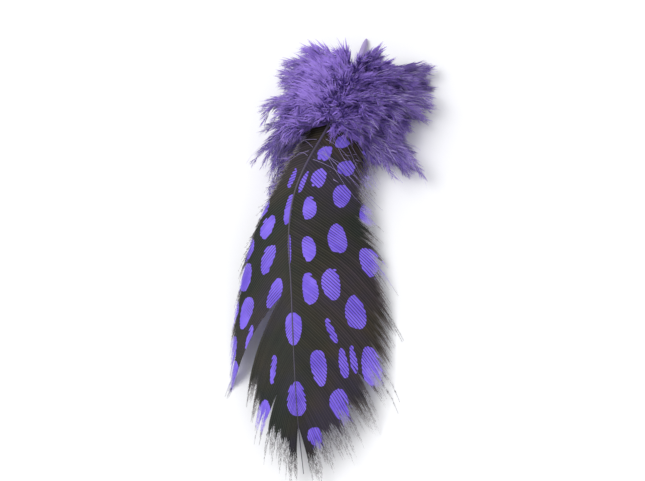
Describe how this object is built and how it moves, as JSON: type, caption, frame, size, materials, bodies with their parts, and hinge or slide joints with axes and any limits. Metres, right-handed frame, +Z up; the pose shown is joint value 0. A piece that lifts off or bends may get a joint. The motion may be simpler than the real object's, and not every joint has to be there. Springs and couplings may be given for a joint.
{
  "type": "guinea fowl feather",
  "caption": "Dyed guinea fowl body feather: arched spotted vane with a split and a loose fringed tip, downy foot and bare quill.",
  "frame": {"origin": "on the surface that the feather lies on, under the middle of its bounding box", "axes": "+Y from the tip towards the quill's foot, +Z up through the outer face, +X towards the vane's unsplit side"},
  "size_m": [0.0348, 0.0794, 0.0099],
  "materials": {
    "vane": "matte",
    "down": "matte",
    "shaft": "satin"
  },
  "bodies": {
    "root": {"feather": "vane"}
  },
  "joints": []
}
